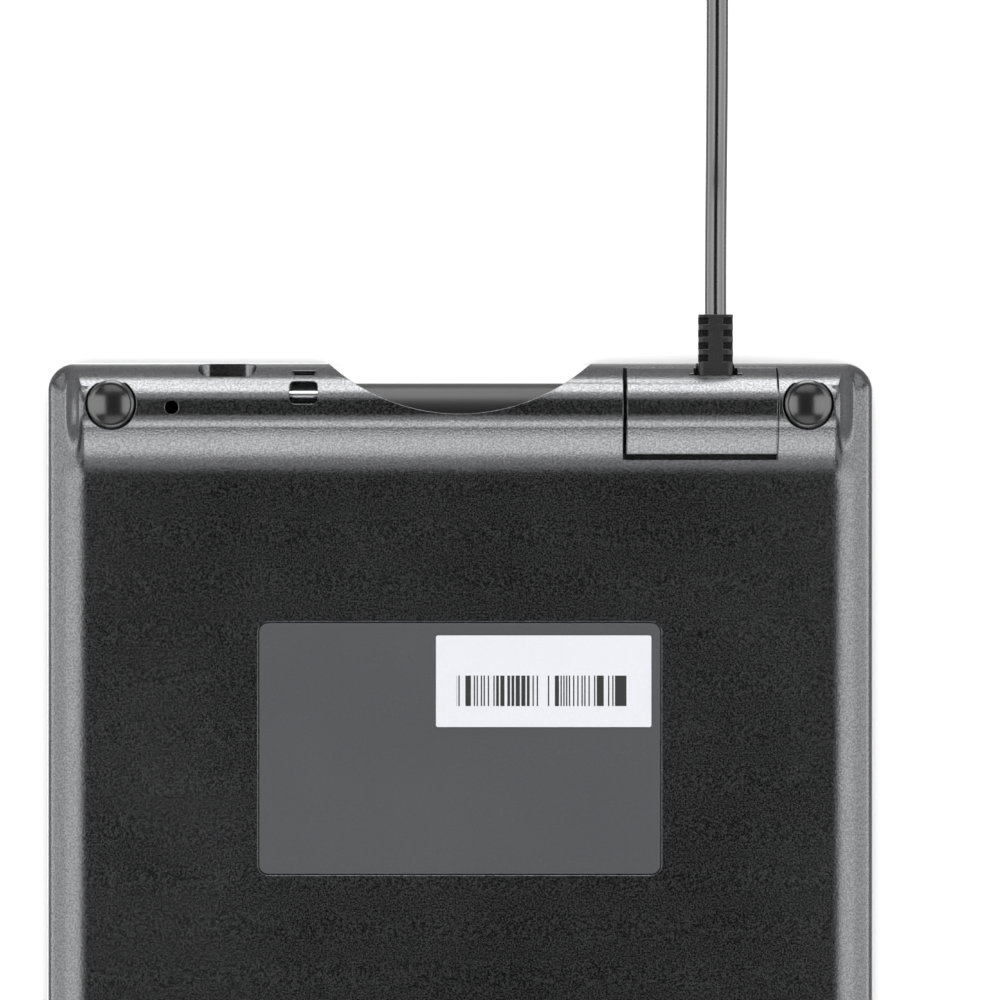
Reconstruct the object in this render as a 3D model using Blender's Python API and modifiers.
"""A counter signature pad with its pen, its lead and the lid over the lead's plug.

Metres, +Z up, screen side up, rear edge towards +Y. Everything in the pad is placed in the pad's
own frame, whose z = 0 is the flat panel of the underside. That frame leans by the small angle that
brings the four feet down to one level, z = 0 of the world. The lead lies in world coordinates.
"""

import math

import bmesh
import bpy
from mathutils import Euler, Vector

# Housing: outline, heights and walls
PAD_WIDTH = 0.160
PAD_DEPTH = 0.149
CORNER_RADIUS = 0.0055
TOP_Z = 0.0115
SEAM_Z = 0.0060
RIM_Z = 0.0045
WALL = 0.0018
TOP_EDGE_RADIUS = 0.0008
FIT_GAP = 0.0003
OVERRUN = 0.002

# Rolled edge of the underside, and the ridge along its rear
ROLL_WIDTH = 0.0083
ROLL_END_RADIUS = 0.0004
RIDGE_DEPTH = 0.0055
RIDGE_END = 0.0245
CREST_END = ROLL_WIDTH + ROLL_END_RADIUS
# Places as shares of the run from crest to foot, each with its share of the steepest slope
RIDGE_SLOPE_SHARES = ((0, 0), (0.25, 1), (0.525, 0.73), (1, 0))
ROLL_STEPS = 8
CORNER_STEPS = 6
RIDGE_STEPS = 9

# Feet: the rear pair stands on the ridge, the front pair on the flat panel
FOOT_RADIUS = 0.0046
FOOT_RECESS_RADIUS = 0.00495
FOOT_HEIGHT = 0.0021
FOOT_FLAT_RADIUS = 0.0034
FOOT_ROUND = 0.0007
FOOT_SEAT_GAP = 0.0005
FOOT_WALL = 0.0012
FOOT_X = 0.0670
REAR_FOOT_IN = 0.0081
FRONT_FOOT_IN = 0.0095
REAR_FOOT_PROUD = 0.0008
FRONT_FOOT_PROUD = 0.0015

# Finger notch in the rear edge
NOTCH_RADIUS = 0.0374
NOTCH_REACH = 0.00995

# Pen and the tray it lies in
PEN_RADIUS = 0.0050
PEN_GAP = 0.0003
PEN_IN = 0.00872
PEN_AXIS_Z = 0.0112
PEN_TAIL = 0.0700
PEN_TIP = 0.0705
TRAY_END_GAP = 0.0025
TRAY_WALL = 0.0012
TRAY_FRONT_WALL = 0.0013
TRAY_REAR_IN = 0.0028
TRAY_END_WALL = 0.0015

# Glass, display and boards, from the outline inwards; each z is that of a piece's lower face
GLASS_SIDE_BORDER = 0.0050
GLASS_REAR_IN = 0.0220
GLASS_FRONT_IN = 0.0050
GLASS_THICKNESS = 0.0011
GLASS_SIZE = (
    PAD_WIDTH - 2 * GLASS_SIDE_BORDER,
    PAD_DEPTH - GLASS_REAR_IN - GLASS_FRONT_IN,
    GLASS_THICKNESS,
)
GLASS_CENTRE_Y = (GLASS_FRONT_IN - GLASS_REAR_IN) / 2
GLASS_Z = 0.0101
GLASS_CORNER = 0.0030
GLASS_EDGE = 0.0003
GASKET_BORDER = 0.0005
GASKET_THICKNESS = 0.0004
GASKET_Z = 0.0094
SHELF_Z = 0.0092
SHELF_THICKNESS = 0.0012
DISPLAY_SIDE_BORDER = 0.01475
DISPLAY_REAR_BORDER = 0.02575
DISPLAY_FRONT_BORDER = 0.02075
DISPLAY_SIZE = (
    GLASS_SIZE[0] - 2 * DISPLAY_SIDE_BORDER,
    GLASS_SIZE[1] - DISPLAY_REAR_BORDER - DISPLAY_FRONT_BORDER,
)
DISPLAY_CENTRE_Y = GLASS_CENTRE_Y + (DISPLAY_FRONT_BORDER - DISPLAY_REAR_BORDER) / 2
DISPLAY_CLEARANCE = 0.0012
PANEL_Z = 0.0086
PANEL_THICKNESS = 0.0012
BACKLIGHT_Z = 0.0071
BACKLIGHT_THICKNESS = 0.0012
SENSOR_SIDE_REACH = 0.00375
SENSOR_REAR_REACH = 0.00675
SENSOR_FRONT_REACH = 0.01175
SENSOR_SIZE = (
    DISPLAY_SIZE[0] + 2 * SENSOR_SIDE_REACH,
    DISPLAY_SIZE[1] + SENSOR_REAR_REACH + SENSOR_FRONT_REACH,
)
SENSOR_CENTRE_Y = DISPLAY_CENTRE_Y + (SENSOR_REAR_REACH - SENSOR_FRONT_REACH) / 2
SENSOR_Z = 0.0059
SENSOR_THICKNESS = 0.0009
SHIELD_BORDER = 0.0010
SHIELD_Z = 0.0052
SHIELD_THICKNESS = 0.0004
SENSOR_POST_RADIUS = 0.0019
SENSOR_POST_SIDE_IN = 0.0060
SENSOR_POST_IN = 0.0033
CAVITY_REAR_IN = 0.0169

MAIN_BOARD_SIZE = (0.092, 0.016, 0.0008)
MAIN_BOARD_IN = 0.0240
MAIN_BOARD_CENTRE_Y = PAD_DEPTH / 2 - MAIN_BOARD_IN - MAIN_BOARD_SIZE[1] / 2
MAIN_BOARD_Z = 0.0046
PROCESSOR_SIZE = (0.012, 0.012, 0.0011)
PROCESSOR_X = -0.0100
DISPLAY_CHIP_SIZE = (0.008, 0.008, 0.0009)
DISPLAY_CHIP_X = 0.0120
BOARD_BOSS_RADIUS = 0.0022
BOARD_SCREW_SIDE_IN = 0.0040
BOARD_SCREW_X = MAIN_BOARD_SIZE[0] / 2 - BOARD_SCREW_SIDE_IN
BOARD_SCREW_BACK = 0.0030

# Flexes between the boards
FLEX_THICKNESS = 0.0002
FLEX_LIFT = 0.0004
FLEX_WIDTHS = {"usb_flex": 0.006, "display_flex": 0.018, "sensor_flex": 0.012}
FLEX_LAP = 0.0030
FLEX_DROP = 0.0009
DISPLAY_FLEX_X = 0.0140
SENSOR_FLEX_X = -0.0300

# Screws: head radius, head height, shank radius and shank length; a hole is wider by SCREW_GAP
CASE_SCREW = (0.0019, 0.0011, 0.0010, 0.0051)
SMALL_SCREW = (0.0015, 0.0010, 0.0008, 0.0034)
SCREW_GAP = 0.0003
SOCKET_RADIUS = 0.0007
SOCKET_DEPTH = 0.0005
HEAD_WELL = 0.0015
CLAMPED_FLOOR = 0.0012
CASE_BOSS_RADIUS = 0.0030

# Lead: strain relief, plug and the socket it sits in
LEAD_X = -0.0494
LEAD_Z = 0.0010
LEAD_DIAMETER = 0.0043
RELIEF_WIDTH = 0.0067
RELIEF_HEIGHT = 0.0052
RELIEF_REACH = 0.0093
RELIEF_CORNER = 0.0008
RELIEF_SLOTS = 4
RELIEF_SLOT = 0.0013
RELIEF_PITCH = 0.0024
RELIEF_FIRST_SLOT = 0.0002
RELIEF_SPINE = 0.0027
PLUG_WIDTH = 0.0096
PLUG_START_IN = 0.0026
PLUG_END_IN = 0.0086
CONTACT_SIZE = (0.0068, 0.0016)
CONTACT_END_IN = 0.0140
SOCKET_SIZE = (0.0082, 0.0028)
SOCKET_START_IN = 0.0095
SOCKET_END_IN = 0.0151
SOCKET_BACK = 0.0007
USB_BOARD_WIDTH = 0.0180
USB_BOARD_START_IN = 0.0092
USB_BOARD_END_IN = 0.0205
USB_BOARD_THICKNESS = 0.0008
USB_SCREW_APART = 0.0066
USB_SCREW_IN = 0.0138
USB_POST_RADIUS = 0.0019

# Bay over the plug, and the lid that closes it
BAY_X = (-0.0614, -0.03145)
BAY_IN = (0.0007, 0.0188)
BAY_LEDGE = 0.0015
BAY_LEDGE_FRONT = 0.0024
BAY_WALL = 0.0012
BAY_CEILING_Z = 0.0022
BAY_REAR_TOP_Z = 0.0010
LID_THICKNESS = 0.0012
LID_X = (-0.0611, -0.03225)
LID_IN = (0.0010, 0.0176)
COLLAR_SLOT_WIDTH = 0.0084
COLLAR_SLOT_REACH = 0.0023
LID_ROOM_IN = 0.0022
LID_TAB_SIZE = (0.0040, 0.0011)
LID_TAB_APART = 0.0180
LID_TAB_IN = 0.0150
LID_TAB_TOP_Z = 0.0016

# Lock pocket, tether hole and the small round hole
LOCK_X = 0.0449
LOCK_Z = 0.0006
LOCK_POCKET_SIZE = (0.0112, 0.0035, 0.0058)
LOCK_CORNER = 0.0024
LOCK_PLATE_SIZE = (0.0140, 0.0010, 0.0063)
LOCK_SLOT_SIZE = (0.0070, 0.0032)
LOCK_BACK_HOLE_SIZE = (0.0080, 0.0040)
LOCK_BLOCK_MARGIN = 0.0016
LOCK_BLOCK_TOP_Z = 0.0040
LOCK_BACK_WALL = 0.0010
TETHER_X = 0.0300
TETHER_HOLE_SIZE = (0.0054, 0.0044)
TETHER_HOLE_IN = 0.00365
TETHER_CORNER = 0.0010
TETHER_SLOT_SIZE = (0.0048, 0.0009)
TETHER_SLOT_IN = 0.0016
TETHER_CHAMBER_Z = (-0.0010, 0.0008)
TETHER_BAR_RADIUS = 0.0008
TETHER_BAR_LENGTH = 0.0086
TETHER_BAR_IN = 0.0062
TETHER_BAR_Z = -0.0034
TETHER_BLOCK_MARGIN = 0.0030
TETHER_BLOCK_TOP_Z = 0.0020
ROUND_HOLE_RADIUS = 0.00135
ROUND_HOLE_X = 0.0553
ROUND_HOLE_IN = 0.0087

# Label plate and the white sticker on it
LABEL_SIZE = (0.0774, 0.0484, 0.0003)
LABEL_CORNER = 0.0017
LABEL_GAP = 0.0001
STICKER_SIZE = (0.0416, 0.0177, 0.0001)
STICKER_CENTRE = (-0.0162, 0.0130)

# Pen parts, as distances along the pen from its middle towards the nib
PEN_DOME = 0.0055
PEN_CAP_SKIRT = 0.0022
PEN_SPIGOT = 0.0040
PEN_BORE = 0.0036
PEN_BARREL_END = 0.0340
PEN_GRIP_BORE = 0.0029
PEN_GRIP_BORE_END = 0.0540
PEN_GRIP_TAPER = 0.0460
PEN_GRIP_END = 0.0660
PEN_GRIP_WAIST = 0.0047
PEN_MOUTH_RADIUS = 0.0019
PEN_MOUTH_BORE = 0.0013
NIB_RADIUS = 0.0010
NIB_START = 0.0378
PEN_CORE_RADIUS = 0.0020
PEN_CORE = (0.0390, 0.0525)
PEN_COIL_RADIUS = 0.0026
PEN_COIL = (0.0405, 0.0510)
NIB_TRAVEL = 0.0005
NIB_SEAT_START = 0.0290
PEN_BOARD_SIZE = (0.0062, 0.0008)
PEN_BOARD = (-0.0400, 0.0287)

# Coil of spare lead, tie and host plug, on the surface behind the pad
COIL_PITCH = 0.00475
COIL_OUTER = 0.0344
COIL_CENTRE_Y = 0.1900
COIL_TURNS_A_LAYER = 4.625
LOOP_POINTS = 24
TIE_THICKNESS = 0.0006
TIE_WIDTH = 0.0060
TIE_ANGLE = math.radians(135)
TIE_CURVE_ROOM = 0.0006
TIE_CORNER = 0.0009
HOST_PLUG_ANGLE = math.radians(-17)
HOST_PLUG_Z = 0.0041
HOST_BOOT_LENGTH = 0.0090
HOST_BOOT_RADII = (0.0027, 0.0036)
HOST_BODY_SIZE = (0.0220, 0.0155, 0.0078)
HOST_BODY_CORNER = 0.0012
HOST_SHELL_SIZE = (0.0118, 0.0120, 0.0045)
HOST_SHELL_WALL = 0.0004
HOST_TONGUE_SIZE = (0.0090, 0.0104, 0.0016)

# Free stretches of the lead in the world: straight out, down to the surface, on to the coil, and
# from the coil to the host plug. The first point of the first stretch is at the strain relief.
LEAD_ROUTE = [
    (-0.0494, 0.0922, 0.0082),
    (-0.0494, 0.1040, 0.0072),
    (-0.0494, 0.1160, 0.0048),
    (-0.0494, 0.1280, 0.0029),
    (-0.0494, 0.1400, 0.0022),
    (-0.0494, 0.1520, 0.0022),
    (-0.0494, 0.1640, 0.0024),
    (-0.0494, 0.1760, 0.00295),
]
TAIL_ROUTE = [
    (-0.0040, 0.2244, 0.0075),
    (0.0040, 0.2241, 0.0060),
    (0.0120, 0.2234, 0.0047),
    (0.0200, 0.2216, 0.0041),
    (0.0260, 0.2198, 0.0041),
]
TUBE_STEP = 0.0100


def rear(inward):
    """The y of a place this far in from the rear edge."""
    return PAD_DEPTH / 2 - inward


def slope_area(start):
    """What the ridge's slope adds up to from a share of its run to its foot."""
    area = 0
    for (near, steep), (far, gentle) in zip(RIDGE_SLOPE_SHARES, RIDGE_SLOPE_SHARES[1:]):
        begin = max(near, min(start, far))
        slope = steep + (gentle - steep) * (begin - near) / (far - near)
        area += (far - begin) * (slope + gentle) / 2
    return area


def ridge_depth(inward):
    """How far the ridge hangs below the flat panel, this far in from the rear edge."""
    share = (inward - CREST_END) / (RIDGE_END - CREST_END)
    return RIDGE_DEPTH * slope_area(max(0, share)) / slope_area(0)


# The lean of the pad's frame follows from where its front and rear feet touch
REAR_CONTACT = (rear(REAR_FOOT_IN), -RIDGE_DEPTH - REAR_FOOT_PROUD)
FRONT_CONTACT = (FRONT_FOOT_IN - PAD_DEPTH / 2, -FRONT_FOOT_PROUD)
LEAN = math.atan2(FRONT_CONTACT[1] - REAR_CONTACT[1], REAR_CONTACT[0] - FRONT_CONTACT[0])
PAD_LIFT = -REAR_CONTACT[0] * math.sin(LEAN) - REAR_CONTACT[1] * math.cos(LEAN)
PAD_SHIFT = (RIM_Z + TOP_Z - TOP_EDGE_RADIUS) / 2 * math.sin(LEAN)

# Heights that follow from the sizes above
FRAME_Z = SEAM_Z + FIT_GAP
TRAY_RADIUS = PEN_RADIUS + PEN_GAP
TRAY_BOTTOM_Z = PEN_AXIS_Z - TRAY_RADIUS - TRAY_WALL
SHELF_BOTTOM_Z = SHELF_Z - SHELF_THICKNESS
PLUG_TOP_Z = LEAD_Z + RELIEF_HEIGHT / 2
USB_BOARD_Z = LEAD_Z + SOCKET_SIZE[1] / 2 + FIT_GAP
COIL_INNER = COIL_OUTER - COIL_PITCH * COIL_TURNS_A_LAYER
COIL_CENTRE_X = LEAD_X + COIL_OUTER
COIL_LOW_Z = TIE_THICKNESS + FIT_GAP + LEAD_DIAMETER / 2
COIL_HIGH_Z = COIL_LOW_Z + COIL_PITCH

SHARP_ANGLE = math.radians(35)
DOWN = (math.pi, 0, 0)
UP = (0, 0, 0)


def make_material(name, colour, roughness, metallic=0):
    material = bpy.data.materials.new(name)
    material.use_nodes = True
    shader = material.node_tree.nodes["Principled BSDF"]
    shader.inputs["Base Color"].default_value = (*colour, 1)
    shader.inputs["Roughness"].default_value = roughness
    shader.inputs["Metallic"].default_value = metallic
    return material


def make_object(name, mesh, look, place=(0, 0, 0), turn=UP, parent=None):
    """An object in the pad's frame. With no look it is a cutter, which no picture shows."""
    obj = bpy.data.objects.new(name, mesh)
    obj.location = place
    obj.rotation_euler = turn
    obj.parent = parent or pad_frame
    if look is None:
        cutters.objects.link(obj)
        obj.hide_render = True
        obj.display_type = "WIRE"
    else:
        parts.objects.link(obj)
        mesh.materials.append(make_material(name, *look))
    return obj


def mesh_from(bm, name):
    mesh = bpy.data.meshes.new(name)
    bmesh.ops.recalc_face_normals(bm, faces=bm.faces)
    bm.to_mesh(mesh)
    bm.free()
    return mesh


def box(name, low, high, look=None, corner=0, along=2, steps=4, parent=None):
    """A box between two corners; the edges that run along one axis may be rounded."""
    low, high = Vector(low), Vector(high)
    bm = bmesh.new()
    bmesh.ops.create_cube(bm, size=1)
    bmesh.ops.scale(bm, vec=high - low, verts=bm.verts)
    if corner:
        rounded = [edge for edge in bm.edges if edge.verts[0].co[along] * edge.verts[1].co[along] < 0]
        bmesh.ops.bevel(
            bm, geom=rounded, offset=corner, segments=steps, profile=0.5, affect="EDGES"
        )
    return make_object(name, mesh_from(bm, name), look, (low + high) / 2, UP, parent)


def plate(name, size, centre_x, centre_y, z, look=None, corner=0, steps=4):
    """A flat plate whose lower face is at z."""
    low = (centre_x - size[0] / 2, centre_y - size[1] / 2, z)
    high = (centre_x + size[0] / 2, centre_y + size[1] / 2, z + size[2])
    return box(name, low, high, look, corner, steps=steps)


def rod(name, radius, start, end, look=None, end_radius=None, segments=20, parent=None):
    """A cylinder, or a cone, from one point to another."""
    start, end = Vector(start), Vector(end)
    bm = bmesh.new()
    bmesh.ops.create_cone(
        bm,
        cap_ends=True,
        segments=segments,
        radius1=radius,
        radius2=radius if end_radius is None else end_radius,
        depth=(end - start).length,
    )
    turn = (end - start).to_track_quat("Z", "Y").to_euler()
    return make_object(name, mesh_from(bm, name), look, (start + end) / 2, turn, parent)


def turned(name, profile, look, place=(0, 0, 0), turn=UP, steps=24, ring=False, parent=None):
    """A turned piece from (radius, height) points that run down its outer side."""
    count = len(profile)
    edges = [(i, i + 1) for i in range(count - 1)]
    if ring:
        edges.append((count - 1, 0))
    mesh = bpy.data.meshes.new(name)
    mesh.from_pydata([(radius, 0, height) for radius, height in profile], edges, [])
    obj = make_object(name, mesh, look, place, turn, parent)
    screw = obj.modifiers.new("Turn", "SCREW")
    screw.steps = steps
    screw.render_steps = steps
    screw.use_merge_vertices = True
    screw.merge_threshold = 0.00001
    return obj


def boolean(target, other, operation="DIFFERENCE"):
    modifier = target.modifiers.new(operation.title() + " " + other.name, "BOOLEAN")
    modifier.operation = operation
    modifier.object = other


def quarter_arc(centre, radii, start, steps=5):
    """Points of a quarter ellipse about a centre, clockwise from an angle in quarter turns."""
    points = []
    for i in range(steps + 1):
        angle = (start - i / steps) * math.pi / 2
        points.append(
            (centre[0] + radii[0] * math.cos(angle), centre[1] + radii[1] * math.sin(angle))
        )
    return points


def ridge_share(x, half_width, roll):
    """How much of the ridge is left at x: it fades out over the roll of each side."""
    share = min(1, (half_width - abs(x)) / roll)
    return share * (2 - share)


def roll_ring(shrink, lift, step):
    """One ring of the rolled underside: corner arcs, with stations down both sides."""
    roll = ROLL_WIDTH - shrink
    angle = step / ROLL_STEPS * math.pi / 2
    inset = roll * (1 - math.cos(angle))
    half_width = PAD_WIDTH / 2 - shrink - inset
    half_depth = PAD_DEPTH / 2 - shrink - inset
    corner = CORNER_RADIUS - shrink
    radius = corner + (ROLL_END_RADIUS - corner) * inset / roll
    station_gap = (RIDGE_END - CREST_END) / RIDGE_STEPS
    stations = [rear(CREST_END + station_gap * (i + 1)) for i in range(RIDGE_STEPS)]
    flat = []
    for quarter, (side_x, side_y) in enumerate([(1, 1), (-1, 1), (-1, -1), (1, -1)]):
        for i in range(CORNER_STEPS + 1):
            turn = (quarter + i / CORNER_STEPS) * math.pi / 2
            x = side_x * (half_width - radius) + radius * math.cos(turn)
            y = side_y * (half_depth - radius) + radius * math.sin(turn)
            flat.append((x, y))
        if quarter == 1:
            flat += [(-half_width, y) for y in stations]
        if quarter == 3:
            flat += [(half_width, y) for y in reversed(stations)]
    points = []
    for x, y in flat:
        depth = ridge_depth(rear(y)) * ridge_share(x, PAD_WIDTH / 2 - shrink, roll)
        floor = lift - depth
        points.append((x, y, RIM_Z + lift + (floor - RIM_Z - lift) * math.sin(angle)))
    return points


def pan(name, shrink, lift, top, look=None):
    """The body under a top plane, bounded below by the rolled underside and its rear ridge."""
    bm = bmesh.new()
    outline = roll_ring(shrink, lift, 0)
    rings = [[(x, y, top) for x, y, _ in outline]]
    rings += [roll_ring(shrink, lift, step) for step in range(ROLL_STEPS + 1)]
    rings = [[bm.verts.new(point) for point in ring] for ring in rings]
    count = len(outline)
    for upper, lower in zip(rings, rings[1:]):
        for i in range(count):
            after = (i + 1) % count
            bm.faces.new((upper[i], upper[after], lower[after], lower[i]))
    arc = CORNER_STEPS + 1
    inner = rings[-1]
    left = inner[2 * arc - 1 : 2 * arc + RIDGE_STEPS]
    right = inner[4 * arc + RIDGE_STEPS :][::-1]
    right.insert(0, inner[0])
    bm.faces.new(inner[: 2 * arc])
    for i in range(RIDGE_STEPS):
        bm.faces.new((left[i], left[i + 1], right[i + 1], right[i]))
    bm.faces.new([left[-1]] + inner[2 * arc + RIDGE_STEPS : 4 * arc + RIDGE_STEPS] + [right[-1]])
    bm.faces.new(rings[0])
    return make_object(name, mesh_from(bm, name), look)


def screw(name, sizes, seat, turn, look):
    """A screw whose head seats at a point, its shank running down before it is turned."""
    head_radius, head_height, shank_radius, shank_length = sizes
    profile = [
        (0, head_height - SOCKET_DEPTH),
        (SOCKET_RADIUS, head_height - SOCKET_DEPTH),
        (SOCKET_RADIUS, head_height),
        (head_radius, head_height),
        (head_radius, 0),
        (shank_radius, 0),
        (shank_radius, -shank_length),
        (0, -shank_length),
    ]
    return turned(name, profile, look, seat, turn, steps=12)


def ribbon(name, points, x, width, thickness, look):
    """A thin flex that follows (y, z) points, at one x."""
    bm = bmesh.new()
    rows = []
    for y, z in points:
        rows.append([bm.verts.new((x - width / 2, y, z)), bm.verts.new((x + width / 2, y, z))])
    for near, far in zip(rows, rows[1:]):
        bm.faces.new((near[0], near[1], far[1], far[0]))
    obj = make_object(name, mesh_from(bm, name), look)
    solidify = obj.modifiers.new("Thickness", "SOLIDIFY")
    solidify.thickness = thickness
    solidify.offset = 0
    return obj


def smooth_path(points, step):
    """Points about one step apart on a Catmull-Rom curve through the given points."""
    points = [Vector(point) for point in points]
    ends = [2 * points[0] - points[1], *points, 2 * points[-1] - points[-2]]
    path = [points[0]]
    for before, start, end, after in zip(ends, ends[1:], ends[2:], ends[3:]):
        pieces = max(1, round((end - start).length / step))
        for i in range(1, pieces + 1):
            t = i / pieces
            path.append(
                (
                    2 * start
                    + (end - before) * t
                    + (2 * before - 5 * start + 4 * end - after) * t**2
                    + (3 * start - before - 3 * end + after) * t**3
                )
                / 2
            )
    return path


def tube(name, points, look, resolution):
    """A round tube of the lead's diameter along points in the world."""
    curve = bpy.data.curves.new(name, "CURVE")
    curve.dimensions = "3D"
    curve.bevel_depth = LEAD_DIAMETER / 2
    curve.bevel_resolution = resolution
    curve.use_fill_caps = True
    spline = curve.splines.new("POLY")
    spline.points.add(len(points) - 1)
    for spot, point in zip(spline.points, points):
        spot.co = (*point, 1)
    obj = bpy.data.objects.new(name, curve)
    curve.materials.append(make_material(name, *look))
    parts.objects.link(obj)
    return obj


def hole_radius(sizes):
    return sizes[2] + SCREW_GAP


for old in list(bpy.data.objects):
    bpy.data.objects.remove(old, do_unlink=True)

parts = bpy.data.collections.new("signature_pad")
cutters = bpy.data.collections.new("cutters")
bpy.context.scene.collection.children.link(parts)
bpy.context.scene.collection.children.link(cutters)

pad_frame = bpy.data.objects.new("pad_frame", None)
pad_frame.location = (0, PAD_SHIFT, PAD_LIFT)
pad_frame.rotation_euler = (LEAN, 0, 0)
parts.objects.link(pad_frame)

# Colour, roughness and, for metals, metallic value
CASE_LOOK = ((0.035, 0.035, 0.038), 0.45)
FRAME_LOOK = ((0.030, 0.030, 0.033), 0.40)
GLASS_LOOK = ((0.010, 0.010, 0.012), 0.08)
RUBBER_LOOK = ((0.045, 0.045, 0.047), 0.75)
LEAD_LOOK = ((0.012, 0.012, 0.013), 0.30)
STEEL_LOOK = ((0.62, 0.62, 0.63), 0.30, 1)
BOARD_LOOK = ((0.02, 0.10, 0.05), 0.50)
CHIP_LOOK = ((0.02, 0.02, 0.02), 0.45)
FLEX_LOOK = ((0.45, 0.20, 0.05), 0.45)
DISPLAY_LOOK = ((0.02, 0.03, 0.04), 0.15)
BACKLIGHT_LOOK = ((0.80, 0.80, 0.78), 0.50)
GASKET_LOOK = ((0.02, 0.02, 0.02), 0.80)
LABEL_LOOK = ((0.095, 0.098, 0.108), 0.45)
STICKER_LOOK = ((0.76, 0.76, 0.80), 0.50)
PEN_LOOK = ((0.055, 0.055, 0.058), 0.40)
NIB_LOOK = ((0.50, 0.50, 0.50), 0.50)
FERRITE_LOOK = ((0.06, 0.055, 0.05), 0.60)
COPPER_LOOK = ((0.72, 0.30, 0.12), 0.35, 1)

FOOT_PLACES = {
    "rear_left_foot": (-FOOT_X, REAR_CONTACT),
    "rear_right_foot": (FOOT_X, REAR_CONTACT),
    "front_left_foot": (-FOOT_X, FRONT_CONTACT),
    "front_right_foot": (FOOT_X, FRONT_CONTACT),
}
LOW_Z = -RIDGE_DEPTH - OVERRUN


def foot_floor_z(contact):
    """The height of the recess floor over a foot, in the pad's frame."""
    return contact[1] + FOOT_HEIGHT + FOOT_SEAT_GAP


def column_top_z(contact):
    return foot_floor_z(contact) + HEAD_WELL + CLAMPED_FLOOR


def make_notch(name, margin, top):
    """The round body that the finger notch is cut with, wider by a margin."""
    centre_y = rear(NOTCH_REACH) + NOTCH_RADIUS
    low, high = (0, centre_y, LOW_Z), (0, centre_y, top)
    return rod(name, NOTCH_RADIUS + margin, low, high, segments=96)


def sensor_posts():
    half_width = SENSOR_SIZE[0] / 2 - SENSOR_POST_SIDE_IN
    half_depth = SENSOR_SIZE[1] / 2 - SENSOR_POST_IN
    for side_x in (-1, 1):
        for side_y in (-1, 1):
            yield side_x * half_width, SENSOR_CENTRE_Y + side_y * half_depth


def board_screws():
    """Two screws near the rear corners of the main board, and one at the middle of its front."""
    back = MAIN_BOARD_CENTRE_Y + MAIN_BOARD_SIZE[1] / 2 - BOARD_SCREW_BACK
    front = MAIN_BOARD_CENTRE_Y - MAIN_BOARD_SIZE[1] / 2 + BOARD_SCREW_BACK
    return [(-BOARD_SCREW_X, back), (BOARD_SCREW_X, back), (0, front)]


def usb_screws():
    return [(LEAD_X + side * USB_SCREW_APART, rear(USB_SCREW_IN)) for side in (-1, 1)]


def make_case_cavity():
    """The hollow of the lower shell, less the blocks, columns and bosses that stay in it."""
    cavity = pan("case_cavity", WALL, WALL, SEAM_Z + OVERRUN)
    kept = [make_notch("notch_wall", WALL, TRAY_BOTTOM_Z - FIT_GAP)]
    for name, (x, contact) in FOOT_PLACES.items():
        low, high = (x, contact[0], LOW_Z), (x, contact[0], column_top_z(contact))
        kept.append(rod(name + "_column", FOOT_RECESS_RADIUS + FOOT_WALL, low, high))
    kept.append(
        box(
            "bay_block",
            (BAY_X[0] - BAY_WALL, rear(BAY_IN[1] + BAY_WALL), LOW_Z),
            (BAY_X[1] + BAY_WALL, rear(-OVERRUN), BAY_CEILING_Z),
        )
    )
    lock_half = LOCK_PLATE_SIZE[0] / 2 + LOCK_BLOCK_MARGIN
    lock_depth = LOCK_POCKET_SIZE[1] + LOCK_PLATE_SIZE[1] + 2 * FIT_GAP + LOCK_BACK_WALL
    kept.append(
        box(
            "lock_block",
            (LOCK_X - lock_half, rear(lock_depth), LOW_Z),
            (LOCK_X + lock_half, rear(-OVERRUN), LOCK_BLOCK_TOP_Z),
        )
    )
    tether_half = TETHER_HOLE_SIZE[0] / 2 + TETHER_BLOCK_MARGIN
    tether_depth = TETHER_HOLE_IN + TETHER_HOLE_SIZE[1] + BAY_WALL
    kept.append(
        box(
            "tether_block",
            (TETHER_X - tether_half, rear(tether_depth), LOW_Z),
            (TETHER_X + tether_half, rear(-OVERRUN), TETHER_BLOCK_TOP_Z),
        )
    )
    for i, (x, y) in enumerate(board_screws()):
        low, high = (x, y, LOW_Z), (x, y, MAIN_BOARD_Z - FIT_GAP)
        kept.append(rod(f"board_boss_{i}", BOARD_BOSS_RADIUS, low, high, segments=12))
    for other in kept:
        boolean(cavity, other)
    return cavity


def bay_cutters():
    """The seat of the lid, one lid deep all along the curved surface, and the well inside it."""
    seat_depth = LID_THICKNESS + FIT_GAP
    seat = box(
        "bay_seat",
        (BAY_X[0], rear(BAY_IN[1]), LOW_Z),
        (BAY_X[1], rear(BAY_IN[0]), BAY_REAR_TOP_Z),
    )
    boolean(seat, pan("bay_floor_form", seat_depth, seat_depth, SEAM_Z + OVERRUN))
    well = box(
        "bay_well",
        (BAY_X[0] + BAY_LEDGE, rear(BAY_IN[1] - BAY_LEDGE_FRONT), LOW_Z),
        (BAY_X[1] - BAY_LEDGE, rear(BAY_IN[0] + BAY_LEDGE), BAY_CEILING_Z + OVERRUN),
    )
    half = RELIEF_WIDTH / 2 + FIT_GAP
    mouth = box(
        "lead_mouth",
        (LEAD_X - half, rear(PLUG_START_IN), LOW_Z),
        (LEAD_X + half, rear(-OVERRUN), PLUG_TOP_Z + FIT_GAP),
    )
    return [seat, well, mouth]


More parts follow.
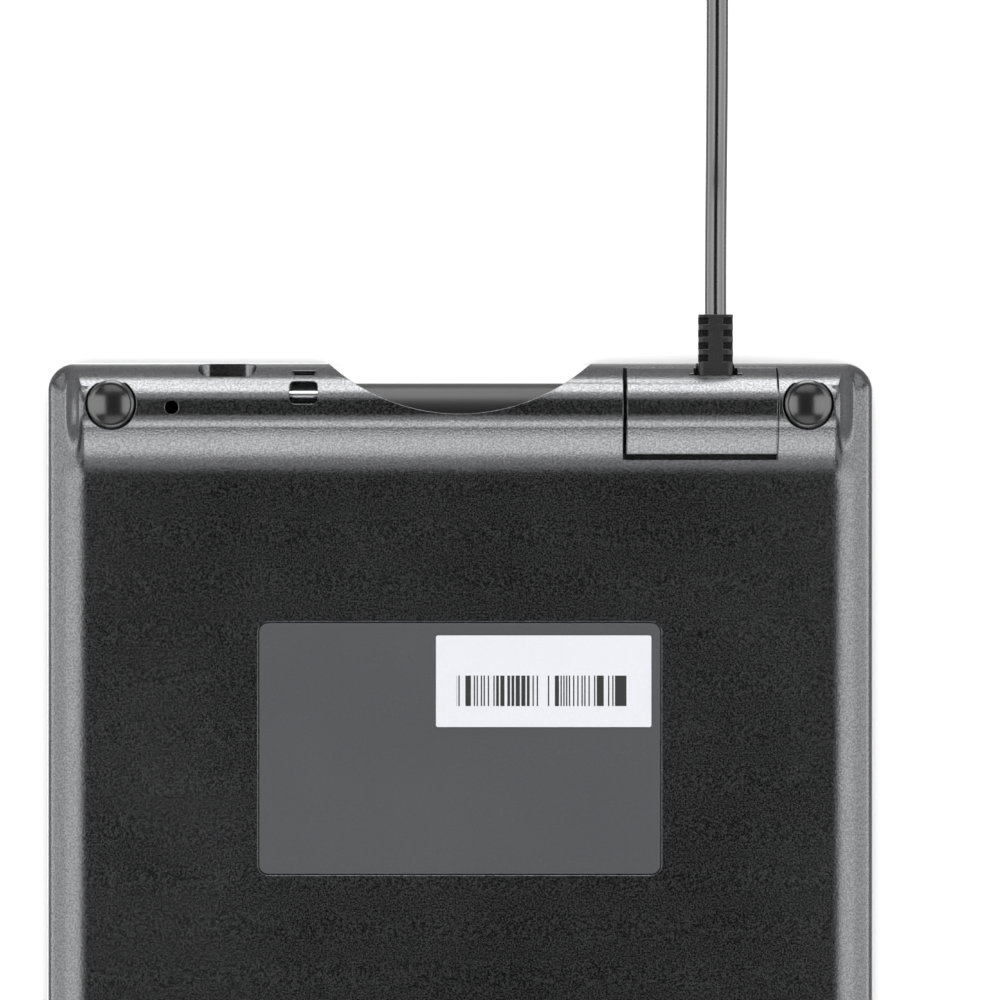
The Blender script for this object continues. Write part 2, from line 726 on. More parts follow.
def lock_cutters():
    half = LOCK_POCKET_SIZE[0] / 2
    half_height = LOCK_POCKET_SIZE[2] / 2
    pocket = box(
        "lock_pocket",
        (LOCK_X - half, rear(LOCK_POCKET_SIZE[1]), LOCK_Z - half_height),
        (LOCK_X + half, rear(-OVERRUN), LOCK_Z + half_height),
        corner=LOCK_CORNER,
        along=1,
    )
    slot_half = LOCK_PLATE_SIZE[0] / 2 + FIT_GAP
    slot_low = LOCK_Z - LOCK_PLATE_SIZE[2] / 2 - FIT_GAP
    slot_end = LOCK_POCKET_SIZE[1] + LOCK_PLATE_SIZE[1] + 2 * FIT_GAP
    slot = box(
        "lock_plate_slot",
        (LOCK_X - slot_half, rear(slot_end), slot_low),
        (LOCK_X + slot_half, rear(LOCK_POCKET_SIZE[1]), LOCK_BLOCK_TOP_Z + OVERRUN),
    )
    hole = box(
        "lock_back_hole",
        (
            LOCK_X - LOCK_BACK_HOLE_SIZE[0] / 2,
            rear(slot_end + LOCK_BACK_WALL + OVERRUN),
            LOCK_Z - LOCK_BACK_HOLE_SIZE[1] / 2,
        ),
        (
            LOCK_X + LOCK_BACK_HOLE_SIZE[0] / 2,
            rear(LOCK_POCKET_SIZE[1]),
            LOCK_Z + LOCK_BACK_HOLE_SIZE[1] / 2,
        ),
    )
    return [pocket, slot, hole]


def tether_cutters():
    """The hole, the thin slot behind it, the chamber that joins them and the bore of the bar."""
    half = TETHER_HOLE_SIZE[0] / 2
    hole = box(
        "tether_hole",
        (TETHER_X - half, rear(TETHER_HOLE_IN + TETHER_HOLE_SIZE[1]), LOW_Z),
        (TETHER_X + half, rear(TETHER_HOLE_IN), TETHER_CHAMBER_Z[1]),
        corner=TETHER_CORNER,
        steps=3,
    )
    slot_half = TETHER_SLOT_SIZE[0] / 2
    slot = box(
        "tether_slot",
        (TETHER_X - slot_half, rear(TETHER_SLOT_IN + TETHER_SLOT_SIZE[1]), LOW_Z),
        (TETHER_X + slot_half, rear(TETHER_SLOT_IN), 0),
    )
    chamber_half = slot_half - FIT_GAP
    chamber = box(
        "tether_chamber",
        (TETHER_X - chamber_half, rear(TETHER_HOLE_IN + TETHER_CORNER), TETHER_CHAMBER_Z[0]),
        (TETHER_X + chamber_half, rear(TETHER_SLOT_IN + FIT_GAP), TETHER_CHAMBER_Z[1] - FIT_GAP),
    )
    reach = TETHER_BAR_LENGTH / 2 + FIT_GAP
    bore = rod(
        "tether_bar_bore",
        TETHER_BAR_RADIUS + FIT_GAP,
        (TETHER_X - reach, rear(TETHER_BAR_IN), TETHER_BAR_Z),
        (TETHER_X + reach, rear(TETHER_BAR_IN), TETHER_BAR_Z),
        segments=12,
    )
    return [hole, slot, chamber, bore]


def make_bottom_case():
    case = pan("bottom_case", 0, 0, SEAM_Z, CASE_LOOK)
    holes = [make_case_cavity(), *bay_cutters(), *lock_cutters(), *tether_cutters()]
    holes.append(make_notch("notch_in_case", 0, TOP_Z + OVERRUN))
    head_radius = CASE_SCREW[0] + SCREW_GAP
    for name, (x, contact) in FOOT_PLACES.items():
        floor = foot_floor_z(contact)
        well = floor + HEAD_WELL
        top = column_top_z(contact) + OVERRUN
        for label, radius, end, segments in (
            ("recess", FOOT_RECESS_RADIUS, floor, 32),
            ("well", head_radius, well, 16),
            ("hole", hole_radius(CASE_SCREW), top, 12),
        ):
            low, high = (x, contact[0], LOW_Z), (x, contact[0], end)
            holes.append(rod(f"{name}_{label}", radius, low, high, segments=segments))
    for i, (x, y) in enumerate(board_screws()):
        low = (x, y, MAIN_BOARD_Z - SMALL_SCREW[3] + FIT_GAP - SCREW_GAP)
        high = (x, y, MAIN_BOARD_Z + OVERRUN)
        holes.append(rod(f"board_boss_hole_{i}", hole_radius(SMALL_SCREW), low, high, segments=12))
    hole_low = (ROUND_HOLE_X, rear(ROUND_HOLE_IN), LOW_Z)
    hole_high = (ROUND_HOLE_X, rear(ROUND_HOLE_IN), WALL)
    holes.append(rod("round_hole", ROUND_HOLE_RADIUS, hole_low, hole_high, segments=20))
    recess = (
        LABEL_SIZE[0] + 2 * FIT_GAP,
        LABEL_SIZE[1] + 2 * FIT_GAP,
        LABEL_SIZE[2] + LABEL_GAP + OVERRUN,
    )
    holes.append(plate("label_recess", recess, 0, 0, -OVERRUN, corner=LABEL_CORNER + FIT_GAP))
    for other in holes:
        boolean(case, other)
    return case


def make_cable_lid():
    """The lid keeps the curve of the underside; two tabs behind it snap into the bay."""
    form = pan("lid_outer_form", 0, 0, SEAM_Z)
    lid = box(
        "cable_cover",
        (LID_X[0], rear(LID_IN[1]), LOW_Z),
        (LID_X[1], rear(LID_IN[0]), BAY_REAR_TOP_Z - FIT_GAP),
        CASE_LOOK,
    )
    boolean(lid, form, "INTERSECT")
    hollow = pan("lid_inner_form", LID_THICKNESS, LID_THICKNESS, SEAM_Z + OVERRUN)
    for side in (-1, 1):
        middle = (LID_X[0] + LID_X[1]) / 2 + side * LID_TAB_APART / 2
        tab = box(
            f"lid_tab_{side}",
            (middle - LID_TAB_SIZE[0] / 2, rear(LID_TAB_IN + LID_TAB_SIZE[1]), LOW_Z),
            (middle + LID_TAB_SIZE[0] / 2, rear(LID_TAB_IN), LID_TAB_TOP_Z),
        )
        boolean(hollow, tab)
    boolean(lid, hollow)
    plug_half = PLUG_WIDTH / 2 + FIT_GAP
    plug_room = box(
        "lid_plug_room",
        (LEAD_X - plug_half, rear(PLUG_END_IN), LEAD_Z - RELIEF_HEIGHT / 2 - FIT_GAP),
        (LEAD_X + plug_half, rear(LID_ROOM_IN), SEAM_Z + OVERRUN),
    )
    boolean(lid, plug_room)
    half = COLLAR_SLOT_WIDTH / 2
    slot = box(
        "collar_slot",
        (LEAD_X - half, rear(COLLAR_SLOT_REACH), LOW_Z),
        (LEAD_X + half, rear(-OVERRUN), SEAM_Z),
    )
    boolean(lid, slot)
    return lid


def make_top_frame():
    frame = box(
        "top_frame",
        (-PAD_WIDTH / 2, -PAD_DEPTH / 2, FRAME_Z),
        (PAD_WIDTH / 2, PAD_DEPTH / 2, TOP_Z),
        FRAME_LOOK,
        corner=CORNER_RADIUS,
        steps=CORNER_STEPS,
    )
    bm = bmesh.new()
    bm.from_mesh(frame.data)
    rim = [edge for edge in bm.edges if all(vert.co.z > 0 for vert in edge.verts)]
    bmesh.ops.bevel(bm, geom=rim, offset=TOP_EDGE_RADIUS, segments=3, profile=0.5, affect="EDGES")
    bm.to_mesh(frame.data)
    bm.free()

    tray_front = PEN_IN + TRAY_RADIUS + TRAY_FRONT_WALL
    tray_half = PEN_TIP + TRAY_END_GAP + TRAY_END_WALL
    join_z = FRAME_Z + TOP_EDGE_RADIUS
    added = [
        box(
            "tray_block",
            (-tray_half, rear(tray_front), TRAY_BOTTOM_Z),
            (tray_half, rear(TRAY_REAR_IN), join_z),
        )
    ]
    for name, (x, contact) in FOOT_PLACES.items():
        low = (x, contact[0], column_top_z(contact) + FIT_GAP)
        high_z = SHELF_BOTTOM_Z if contact is FRONT_CONTACT else TRAY_BOTTOM_Z
        high = (x, contact[0], high_z + TOP_EDGE_RADIUS)
        added.append(rod(name + "_boss", CASE_BOSS_RADIUS, low, high))
    for i, (x, y) in enumerate(sensor_posts()):
        low = (x, y, SENSOR_Z + SENSOR_THICKNESS + FIT_GAP)
        high = (x, y, SHELF_BOTTOM_Z + TOP_EDGE_RADIUS)
        added.append(rod(f"sensor_post_{i}", SENSOR_POST_RADIUS, low, high, segments=16))
    for i, (x, y) in enumerate(usb_screws()):
        low = (x, y, USB_BOARD_Z + USB_BOARD_THICKNESS + FIT_GAP)
        high = (x, y, TRAY_BOTTOM_Z + TOP_EDGE_RADIUS)
        added.append(rod(f"usb_post_{i}", USB_POST_RADIUS, low, high, segments=16))

    cavity_rear = rear(CAVITY_REAR_IN)
    cavity_front = WALL - PAD_DEPTH / 2
    cavity = box(
        "frame_cavity",
        (WALL - PAD_WIDTH / 2, cavity_front, FRAME_Z - OVERRUN),
        (PAD_WIDTH / 2 - WALL, cavity_rear, SHELF_BOTTOM_Z),
        corner=CORNER_RADIUS - WALL,
    )
    boolean(frame, cavity)
    for other in added:
        boolean(frame, other, "UNION")

    glass_room = (GLASS_SIZE[0] + 2 * FIT_GAP, GLASS_SIZE[1] + 2 * FIT_GAP, TOP_Z - SHELF_Z + OVERRUN)
    window = (
        DISPLAY_SIZE[0] + 2 * DISPLAY_CLEARANCE,
        DISPLAY_SIZE[1] + 2 * DISPLAY_CLEARANCE,
        SHELF_THICKNESS + 2 * OVERRUN,
    )
    window_z = SHELF_BOTTOM_Z - OVERRUN
    holes = [
        plate("glass_room", glass_room, 0, GLASS_CENTRE_Y, SHELF_Z, corner=GLASS_CORNER + FIT_GAP),
        plate("window", window, 0, DISPLAY_CENTRE_Y, window_z, corner=GLASS_EDGE, steps=1),
        rod(
            "pen_groove",
            TRAY_RADIUS,
            (-PEN_TAIL - TRAY_END_GAP, rear(PEN_IN), PEN_AXIS_Z),
            (PEN_TIP + TRAY_END_GAP, rear(PEN_IN), PEN_AXIS_Z),
            segments=40,
        ),
        make_notch("notch_in_frame", 0, TOP_Z + OVERRUN),
    ]
    for name, (x, contact) in FOOT_PLACES.items():
        low = (x, contact[0], column_top_z(contact) - OVERRUN)
        top = foot_floor_z(contact) + HEAD_WELL + CASE_SCREW[3] + SCREW_GAP
        high = (x, contact[0], top)
        holes.append(rod(name + "_pilot", hole_radius(CASE_SCREW), low, high, segments=12))
    for i, (x, y) in enumerate(sensor_posts()):
        low = (x, y, SENSOR_Z)
        high = (x, y, SHIELD_Z - FIT_GAP + SMALL_SCREW[3] + SCREW_GAP)
        holes.append(rod(f"sensor_pilot_{i}", hole_radius(SMALL_SCREW), low, high, segments=12))
    for i, (x, y) in enumerate(usb_screws()):
        low = (x, y, USB_BOARD_Z)
        high = (x, y, USB_BOARD_Z - FIT_GAP + SMALL_SCREW[3] + SCREW_GAP)
        holes.append(rod(f"usb_pilot_{i}", hole_radius(SMALL_SCREW), low, high, segments=12))
    for other in holes:
        boolean(frame, other)
    return frame


def pierced(board, places, sizes, label):
    """Clearance holes through a board, for screws of one size."""
    for i, (x, y) in enumerate(places):
        low, high = (x, y, FIT_GAP), (x, y, TOP_Z)
        boolean(board, rod(f"{label}_{i}", hole_radius(sizes), low, high, segments=12))


def make_display_stack():
    glass = plate("cover_glass", GLASS_SIZE, 0, GLASS_CENTRE_Y, GLASS_Z, GLASS_LOOK, GLASS_CORNER)
    edge = glass.modifiers.new("Ground edge", "BEVEL")
    edge.width = GLASS_EDGE
    edge.segments = 1
    edge.limit_method = "ANGLE"
    edge.angle_limit = math.radians(60)
    gasket_size = (
        GLASS_SIZE[0] - 2 * GASKET_BORDER,
        GLASS_SIZE[1] - 2 * GASKET_BORDER,
        GASKET_THICKNESS,
    )
    gasket = plate("glass_gasket", gasket_size, 0, GLASS_CENTRE_Y, GASKET_Z, GASKET_LOOK, GLASS_CORNER)
    inner = (
        DISPLAY_SIZE[0] + 3 * DISPLAY_CLEARANCE,
        DISPLAY_SIZE[1] + 3 * DISPLAY_CLEARANCE,
        GASKET_THICKNESS + 2 * OVERRUN,
    )
    boolean(gasket, plate("gasket_window", inner, 0, DISPLAY_CENTRE_Y, GASKET_Z - OVERRUN))
    panel = (*DISPLAY_SIZE, PANEL_THICKNESS)
    plate("display_panel", panel, 0, DISPLAY_CENTRE_Y, PANEL_Z, DISPLAY_LOOK)
    backlight = (*DISPLAY_SIZE, BACKLIGHT_THICKNESS)
    plate("backlight_unit", backlight, 0, DISPLAY_CENTRE_Y, BACKLIGHT_Z, BACKLIGHT_LOOK)
    sensor_size = (*SENSOR_SIZE, SENSOR_THICKNESS)
    sensor = plate("sensor_board", sensor_size, 0, SENSOR_CENTRE_Y, SENSOR_Z, BOARD_LOOK)
    shield_size = (
        SENSOR_SIZE[0] - 2 * SHIELD_BORDER,
        SENSOR_SIZE[1] - 2 * SHIELD_BORDER,
        SHIELD_THICKNESS,
    )
    shield = plate("shield_plate", shield_size, 0, SENSOR_CENTRE_Y, SHIELD_Z, STEEL_LOOK)
    posts = list(sensor_posts())
    pierced(sensor, posts, SMALL_SCREW, "sensor_hole")
    pierced(shield, posts, SMALL_SCREW, "shield_hole")
    for i, (x, y) in enumerate(posts):
        screw(f"sensor_screw_{i + 1}", SMALL_SCREW, (x, y, SHIELD_Z - FIT_GAP), DOWN, STEEL_LOOK)


def make_boards():
    size = MAIN_BOARD_SIZE
    board = plate("main_board", size, 0, MAIN_BOARD_CENTRE_Y, MAIN_BOARD_Z, BOARD_LOOK)
    pierced(board, board_screws(), SMALL_SCREW, "board_hole")
    top = MAIN_BOARD_Z + size[2]
    plate("processor_chip", PROCESSOR_SIZE, PROCESSOR_X, MAIN_BOARD_CENTRE_Y, top + FIT_GAP, CHIP_LOOK)
    chip = DISPLAY_CHIP_SIZE
    plate("display_chip", chip, DISPLAY_CHIP_X, MAIN_BOARD_CENTRE_Y, top + FIT_GAP, CHIP_LOOK)
    for i, (x, y) in enumerate(board_screws()):
        screw(f"main_board_screw_{i + 1}", SMALL_SCREW, (x, y, top + FIT_GAP), UP, STEEL_LOOK)

    usb_size = (USB_BOARD_WIDTH, USB_BOARD_END_IN - USB_BOARD_START_IN, USB_BOARD_THICKNESS)
    usb_y = rear((USB_BOARD_START_IN + USB_BOARD_END_IN) / 2)
    usb_board = plate("usb_board", usb_size, LEAD_X, usb_y, USB_BOARD_Z, BOARD_LOOK)
    pierced(usb_board, usb_screws(), SMALL_SCREW, "usb_hole")
    for i, (x, y) in enumerate(usb_screws()):
        screw(f"usb_board_screw_{i + 1}", SMALL_SCREW, (x, y, USB_BOARD_Z - FIT_GAP), DOWN, STEEL_LOOK)

    half_width, half_height = SOCKET_SIZE[0] / 2, SOCKET_SIZE[1] / 2
    socket = box(
        "usb_socket",
        (LEAD_X - half_width, rear(SOCKET_END_IN), LEAD_Z - half_height),
        (LEAD_X + half_width, rear(SOCKET_START_IN), LEAD_Z + half_height),
        STEEL_LOOK,
    )
    room_width, room_height = CONTACT_SIZE[0] / 2 + FIT_GAP, CONTACT_SIZE[1] / 2 + FIT_GAP
    room = box(
        "socket_room",
        (LEAD_X - room_width, rear(SOCKET_END_IN - SOCKET_BACK), LEAD_Z - room_height),
        (LEAD_X + room_width, rear(SOCKET_START_IN - OVERRUN), LEAD_Z + room_height),
    )
    boolean(socket, room)


def make_flexes():
    """Three thin flexes that join the boards, each lapping over both of the pieces it joins."""
    board_top = MAIN_BOARD_Z + MAIN_BOARD_SIZE[2] + FLEX_LIFT
    board_back = MAIN_BOARD_CENTRE_Y + MAIN_BOARD_SIZE[1] / 2
    board_front = MAIN_BOARD_CENTRE_Y - MAIN_BOARD_SIZE[1] / 2
    usb_top = USB_BOARD_Z + USB_BOARD_THICKNESS + FLEX_LIFT
    usb_front = rear(USB_BOARD_END_IN)
    usb_points = [
        (usb_front + FLEX_LAP, usb_top),
        (usb_front, usb_top),
        (board_back + FLEX_LAP / 2, board_top),
        (board_back - FLEX_LAP, board_top),
    ]
    flex_x = -BOARD_SCREW_X + FLEX_WIDTHS["usb_flex"]
    ribbon("usb_flex", usb_points, flex_x, FLEX_WIDTHS["usb_flex"], FLEX_THICKNESS, FLEX_LOOK)
    display_back = DISPLAY_CENTRE_Y + DISPLAY_SIZE[1] / 2
    gap_z = (BACKLIGHT_Z + BACKLIGHT_THICKNESS + PANEL_Z) / 2
    display_points = [
        (display_back + FIT_GAP, gap_z),
        (display_back + FLEX_DROP, SENSOR_Z + SENSOR_THICKNESS + 2 * FLEX_LIFT),
        (board_front - FLEX_LIFT, SENSOR_Z + SENSOR_THICKNESS + FLEX_LIFT),
        (board_front + FLEX_LAP / 2, board_top),
        (board_front + FLEX_LAP, board_top),
    ]
    width = FLEX_WIDTHS["display_flex"]
    ribbon("display_flex", display_points, DISPLAY_FLEX_X, width, FLEX_THICKNESS, FLEX_LOOK)
    sensor_back = SENSOR_CENTRE_Y + SENSOR_SIZE[1] / 2
    sensor_top = SENSOR_Z + SENSOR_THICKNESS + FLEX_LIFT
    sensor_points = [
        (sensor_back - FLEX_LAP, sensor_top),
        (board_front - FLEX_LIFT, sensor_top),
        (board_front + FLEX_LAP / 2, board_top),
        (board_front + FLEX_LAP, board_top),
    ]
    width = FLEX_WIDTHS["sensor_flex"]
    ribbon("sensor_flex", sensor_points, SENSOR_FLEX_X, width, FLEX_THICKNESS, FLEX_LOOK)


def make_feet_and_case_screws():
    """Each foot stands upright in the world, so its turn undoes the lean of the pad."""
    round_radii = (FOOT_RADIUS - FOOT_FLAT_RADIUS, FOOT_ROUND)
    profile = [(0, FOOT_HEIGHT), (FOOT_RADIUS, FOOT_HEIGHT)]
    profile += quarter_arc((FOOT_FLAT_RADIUS, FOOT_ROUND), round_radii, 0)
    profile.append((0, 0))
    for name, (x, contact) in FOOT_PLACES.items():
        turned(name, profile, RUBBER_LOOK, (x, *contact), (-LEAN, 0, 0))
        seat = foot_floor_z(contact) + HEAD_WELL - FIT_GAP
        place = (x, contact[0], seat)
        screw(name.replace("foot", "case_screw"), CASE_SCREW, place, DOWN, STEEL_LOOK)


def make_lock_and_tether():
    half, half_height = LOCK_PLATE_SIZE[0] / 2, LOCK_PLATE_SIZE[2] / 2
    near = LOCK_POCKET_SIZE[1] + FIT_GAP
    lock = box(
        "lock_plate",
        (LOCK_X - half, rear(near + LOCK_PLATE_SIZE[1]), LOCK_Z - half_height),
        (LOCK_X + half, rear(near), LOCK_Z + half_height),
        STEEL_LOOK,
    )
    slot_half, slot_half_height = LOCK_SLOT_SIZE[0] / 2, LOCK_SLOT_SIZE[1] / 2
    slot_end = near + LOCK_PLATE_SIZE[1] + OVERRUN
    slot = box(
        "lock_slot",
        (LOCK_X - slot_half, rear(slot_end), LOCK_Z - slot_half_height),
        (LOCK_X + slot_half, rear(near - OVERRUN), LOCK_Z + slot_half_height),
        corner=LOCK_SLOT_SIZE[1] / 3,
        along=1,
        steps=3,
    )
    boolean(lock, slot)
    reach = TETHER_BAR_LENGTH / 2
    rod(
        "tether_bar",
        TETHER_BAR_RADIUS,
        (TETHER_X - reach, rear(TETHER_BAR_IN), TETHER_BAR_Z),
        (TETHER_X + reach, rear(TETHER_BAR_IN), TETHER_BAR_Z),
        STEEL_LOOK,
        segments=12,
    )


def make_labels():
    plate("label_plate", LABEL_SIZE, 0, 0, 0, LABEL_LOOK, LABEL_CORNER)
    sticker_z = -LABEL_GAP - STICKER_SIZE[2]
    plate("bar_code_sticker", STICKER_SIZE, *STICKER_CENTRE, sticker_z, STICKER_LOOK)


def make_plug():
    """The moulded strain relief with its side slots, the plug behind it and the plug's contact."""
    half_height = RELIEF_HEIGHT / 2
    relief = box(
        "strain_relief",
        (LEAD_X - RELIEF_WIDTH / 2, rear(PLUG_END_IN), LEAD_Z - half_height),
        (LEAD_X + RELIEF_WIDTH / 2, rear(-RELIEF_REACH), LEAD_Z + half_height),
        LEAD_LOOK,
        corner=RELIEF_CORNER,
        along=2,
        steps=3,
    )
    body = box(
        "plug_body_form",
        (LEAD_X - PLUG_WIDTH / 2, rear(PLUG_END_IN), LEAD_Z - half_height),
        (LEAD_X + PLUG_WIDTH / 2, rear(PLUG_START_IN + FIT_GAP), LEAD_Z + half_height),
        corner=RELIEF_CORNER,
        along=1,
        steps=2,
    )
    boolean(relief, body, "UNION")
    for i in range(RELIEF_SLOTS):
        start = RELIEF_FIRST_SLOT + i * RELIEF_PITCH
        for side in (-1, 1):
            inner, outer = LEAD_X + side * RELIEF_SPINE / 2, LEAD_X + side * RELIEF_WIDTH
            low = (min(inner, outer), rear(-start), LEAD_Z - RELIEF_HEIGHT)
            high = (max(inner, outer), rear(-start - RELIEF_SLOT), LEAD_Z + RELIEF_HEIGHT)
            boolean(relief, box(f"relief_slot_{i}_{side}", low, high))
    box(
        "usb_plug",
        (LEAD_X - CONTACT_SIZE[0] / 2, rear(CONTACT_END_IN), LEAD_Z - CONTACT_SIZE[1] / 2),
        (LEAD_X + CONTACT_SIZE[0] / 2, rear(PLUG_END_IN + FIT_GAP), LEAD_Z + CONTACT_SIZE[1] / 2),
        STEEL_LOOK,
    )


def make_pen():
    """The pen lies along X with its nib to the right; its frame's z runs along it to the nib."""
    pen_frame = bpy.data.objects.new("pen_frame", None)
    pen_frame.parent = pad_frame
    pen_frame.location = (0, rear(PEN_IN), PEN_AXIS_Z)
    pen_frame.rotation_euler = (0, math.pi / 2, 0)
    parts.objects.link(pen_frame)

    def turn(name, profile, look, ring=False, steps=24):
        return turned(name, profile, look, steps=steps, ring=ring, parent=pen_frame)

    barrel_start = -PEN_TAIL + PEN_DOME + PEN_CAP_SKIRT + FIT_GAP
    cap_end = barrel_start - FIT_GAP
    spigot = PEN_BORE - FIT_GAP
    cap = [(0, barrel_start + PEN_SPIGOT), (spigot, barrel_start + PEN_SPIGOT), (spigot, cap_end)]
    cap += [(PEN_RADIUS, cap_end)]
    cap += quarter_arc((0, -PEN_TAIL + PEN_DOME), (PEN_RADIUS, PEN_DOME), 0)
    turn("pen_tail_cap", cap, PEN_LOOK)
    barrel = [
        (PEN_RADIUS, PEN_BARREL_END),
        (PEN_RADIUS, barrel_start),
        (PEN_BORE, barrel_start),
        (PEN_BORE, PEN_BARREL_END),
    ]
    turn("pen_barrel", barrel, PEN_LOOK, ring=True)
    grip = [
        (PEN_MOUTH_RADIUS, PEN_GRIP_END),
        (PEN_GRIP_WAIST, PEN_GRIP_TAPER),
        (PEN_RADIUS, (PEN_GRIP_TAPER + PEN_BARREL_END) / 2),
        (PEN_RADIUS, PEN_BARREL_END + FIT_GAP),
        (PEN_GRIP_BORE, PEN_BARREL_END + FIT_GAP),
        (PEN_GRIP_BORE, PEN_GRIP_BORE_END),
        (PEN_MOUTH_BORE, PEN_GRIP_BORE_END),
        (PEN_MOUTH_BORE, PEN_GRIP_END),
    ]
    turn("pen_grip", grip, RUBBER_LOOK, ring=True)
    nib = quarter_arc((0, PEN_TIP - NIB_RADIUS), (NIB_RADIUS, NIB_RADIUS), 1, 3)
    nib += [(NIB_RADIUS, NIB_START), (0, NIB_START)]
    turn("pen_nib", nib, NIB_LOOK, steps=16)
    for name, inner, outer, (start, end), look in (
        ("pen_core", PEN_MOUTH_BORE, PEN_CORE_RADIUS, PEN_CORE, FERRITE_LOOK),
        ("pen_coil", PEN_CORE_RADIUS + FIT_GAP, PEN_COIL_RADIUS, PEN_COIL, COPPER_LOOK),
    ):
        profile = [(outer, end), (outer, start), (inner, start), (inner, end)]
        turn(name, profile, look, ring=True, steps=20)
    seat_end = NIB_START - NIB_TRAVEL - FIT_GAP
    seat_radius = PEN_GRIP_BORE - FIT_GAP
    seat = [(0, seat_end), (seat_radius, seat_end), (seat_radius, NIB_SEAT_START), (0, NIB_SEAT_START)]
    turn("nib_seat", seat, CHIP_LOOK, steps=16)
    box(
        "pen_board",
        (-PEN_BOARD_SIZE[1] / 2, -PEN_BOARD_SIZE[0] / 2, PEN_BOARD[0]),
        (PEN_BOARD_SIZE[1] / 2, PEN_BOARD_SIZE[0] / 2, PEN_BOARD[1]),
        BOARD_LOOK,
        parent=pen_frame,
    )


def coil_points():
    """The centre line of the coil: two layers, spiralling in below and out again above."""
    total = 2 * COIL_TURNS_A_LAYER
    count = round(total * LOOP_POINTS)
    points = [Vector((LEAD_X, COIL_CENTRE_Y - LEAD_DIAMETER, COIL_LOW_Z))]
    for i in range(count + 1):
        turn = total * i / count
        radius = COIL_INNER + COIL_PITCH * abs(turn - COIL_TURNS_A_LAYER)
        climb = min(1, max(0, 2 * (turn - COIL_TURNS_A_LAYER) + 1 / 2))
        height = COIL_LOW_Z + COIL_PITCH * climb**2 * (3 - 2 * climb)
        angle = math.pi - 2 * math.pi * turn
        points.append(
            Vector(
                (
                    COIL_CENTRE_X + radius * math.cos(angle),
                    COIL_CENTRE_Y + radius * math.sin(angle),
                    height,
                )
            )
        )
    points.append(points[-1] + Vector((LEAD_DIAMETER, 0, 0)))
    return points


def least_gap(points):
    """The least clear distance between turns of a wound tube, measured on its points."""
    apart = LOOP_POINTS // 2
    least = math.inf
    for i, point in enumerate(points):
        for other in points[i + apart :]:
            least = min(least, (other - point).length)
    return least - LEAD_DIAMETER


def make_lead():
    relief_end = (LEAD_X, rear(-RELIEF_REACH - FIT_GAP), LEAD_Z)
    lean = Euler((LEAN, 0, 0)).to_matrix()
    start = lean @ Vector(relief_end) + Vector((0, PAD_SHIFT, PAD_LIFT))
    coil = coil_points()
    print(f"coil: least gap {least_gap(coil):.5f} m over {2 * COIL_TURNS_A_LAYER} turns")
    to_coil = coil[0] - Vector((0, FIT_GAP, 0))
    before_coil = to_coil - Vector((0, LEAD_DIAMETER, 0))
    first = smooth_path([start, *LEAD_ROUTE, before_coil, to_coil], TUBE_STEP)
    tube("usb_cable", first, LEAD_LOOK, 2)
    tube("usb_cable_coil", coil, LEAD_LOOK, 1)
    tail_start = coil[-1] + Vector((FIT_GAP, 0, 0))
    tail = smooth_path([tail_start, *TAIL_ROUTE], TUBE_STEP)
    tube("usb_cable_tail", tail, LEAD_LOOK, 2)
    length = sum((b - a).length for path in (first, coil, tail) for a, b in zip(path, path[1:]))
    print(f"lead: {length:.3f} m")


def make_tie():
    """A band round all the turns at one place of the coil."""
    turns_in = COIL_TURNS_A_LAYER % 1
    tie_share = (math.pi - TIE_ANGLE) / (2 * math.pi)
    room = LEAD_DIAMETER / 2 + FIT_GAP
    inner = COIL_INNER + COIL_PITCH * (turns_in - tie_share) - room - TIE_CURVE_ROOM
    outer = COIL_OUTER - COIL_PITCH * tie_share + room
    top = COIL_HIGH_Z + LEAD_DIAMETER / 2 + FIT_GAP
    half = (outer - inner) / 2
    tie_frame = bpy.data.objects.new("tie_frame", None)
    middle = (outer + inner) / 2
    tie_frame.location = (
        COIL_CENTRE_X + middle * math.cos(TIE_ANGLE),
        COIL_CENTRE_Y + middle * math.sin(TIE_ANGLE),
        0,
    )
    tie_frame.rotation_euler = (0, 0, TIE_ANGLE)
    parts.objects.link(tie_frame)
    skin = TIE_THICKNESS
    tie = box(
        "cable_tie",
        (-half - skin, -TIE_WIDTH / 2, 0),
        (half + skin, TIE_WIDTH / 2, top + skin),
        GASKET_LOOK,
        corner=TIE_CORNER,
        along=1,
        steps=2,
        parent=tie_frame,
    )
    hollow = box("tie_room", (-half, -TIE_WIDTH, skin), (half, TIE_WIDTH, top), parent=tie_frame)
    boolean(tie, hollow)


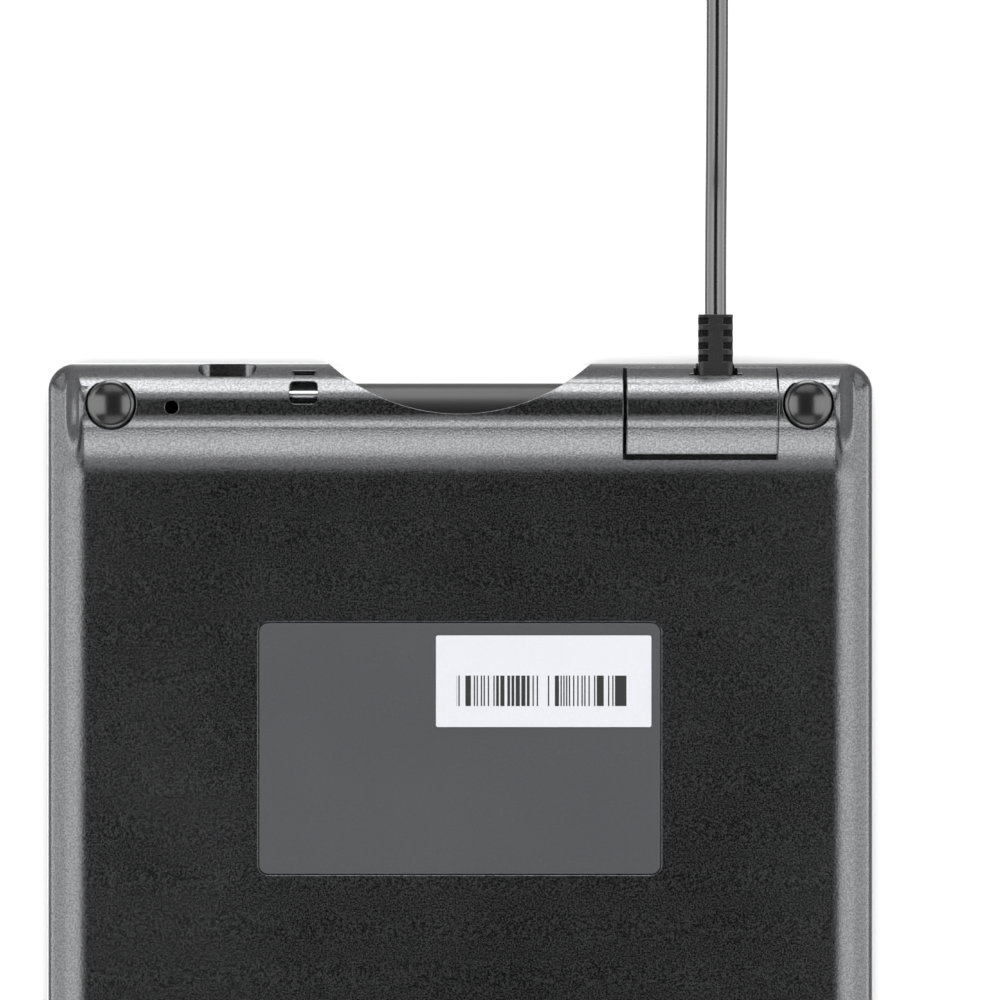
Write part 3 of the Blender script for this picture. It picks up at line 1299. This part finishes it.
def make_host_plug():
    """The plug on the far end, lying flat beyond the coil; its frame's x runs out of the lead."""
    plug_frame = bpy.data.objects.new("host_plug_frame", None)
    plug_frame.location = TAIL_ROUTE[-1]
    plug_frame.rotation_euler = (0, 0, HOST_PLUG_ANGLE)
    parts.objects.link(plug_frame)
    boot_end = FIT_GAP + HOST_BOOT_LENGTH
    body_end = boot_end + HOST_BODY_SIZE[0]
    body = box(
        "host_plug_body",
        (boot_end, -HOST_BODY_SIZE[1] / 2, -HOST_BODY_SIZE[2] / 2),
        (body_end, HOST_BODY_SIZE[1] / 2, HOST_BODY_SIZE[2] / 2),
        LEAD_LOOK,
        corner=HOST_BODY_CORNER,
        along=0,
        steps=3,
        parent=plug_frame,
    )
    boot = rod(
        "host_boot_form",
        HOST_BOOT_RADII[0],
        (FIT_GAP, 0, 0),
        (boot_end + HOST_BODY_CORNER, 0, 0),
        end_radius=HOST_BOOT_RADII[1],
        segments=16,
        parent=plug_frame,
    )
    boolean(body, boot, "UNION")
    shell_start = body_end + FIT_GAP
    shell_end = shell_start + HOST_SHELL_SIZE[0]
    half_width, half_height = HOST_SHELL_SIZE[1] / 2, HOST_SHELL_SIZE[2] / 2
    shell = box(
        "host_plug_shell",
        (shell_start, -half_width, -half_height),
        (shell_end, half_width, half_height),
        STEEL_LOOK,
        parent=plug_frame,
    )
    skin = HOST_SHELL_WALL
    room = box(
        "host_shell_room",
        (shell_start + skin, skin - half_width, skin - half_height),
        (shell_end + OVERRUN, half_width - skin, half_height - skin),
        parent=plug_frame,
    )
    boolean(shell, room)
    tongue_start = shell_start + skin + FIT_GAP
    tongue_top = half_height - skin - FIT_GAP
    box(
        "host_plug_tongue",
        (tongue_start, -HOST_TONGUE_SIZE[1] / 2, tongue_top - HOST_TONGUE_SIZE[2]),
        (tongue_start + HOST_TONGUE_SIZE[0], HOST_TONGUE_SIZE[1] / 2, tongue_top),
        CHIP_LOOK,
        parent=plug_frame,
    )


def shade_round_pieces():
    """Every cut and join is made final, so that its edges can be kept sharp where faces turn."""
    bpy.context.view_layer.update()
    graph = bpy.context.evaluated_depsgraph_get()
    solids = [obj for obj in parts.objects if obj.type == "MESH"]
    meshes = [bpy.data.meshes.new_from_object(obj.evaluated_get(graph)) for obj in solids]
    for obj, mesh in zip(solids, meshes):
        obj.modifiers.clear()
        obj.data = mesh
        mesh.name = obj.name
        mesh.shade_smooth()
        mesh.set_sharp_from_angle(angle=SHARP_ANGLE)


make_bottom_case()
make_cable_lid()
make_top_frame()
make_display_stack()
make_boards()
make_flexes()
make_feet_and_case_screws()
make_lock_and_tether()
make_labels()
make_plug()
make_pen()
make_lead()
make_tie()
make_host_plug()
shade_round_pieces()
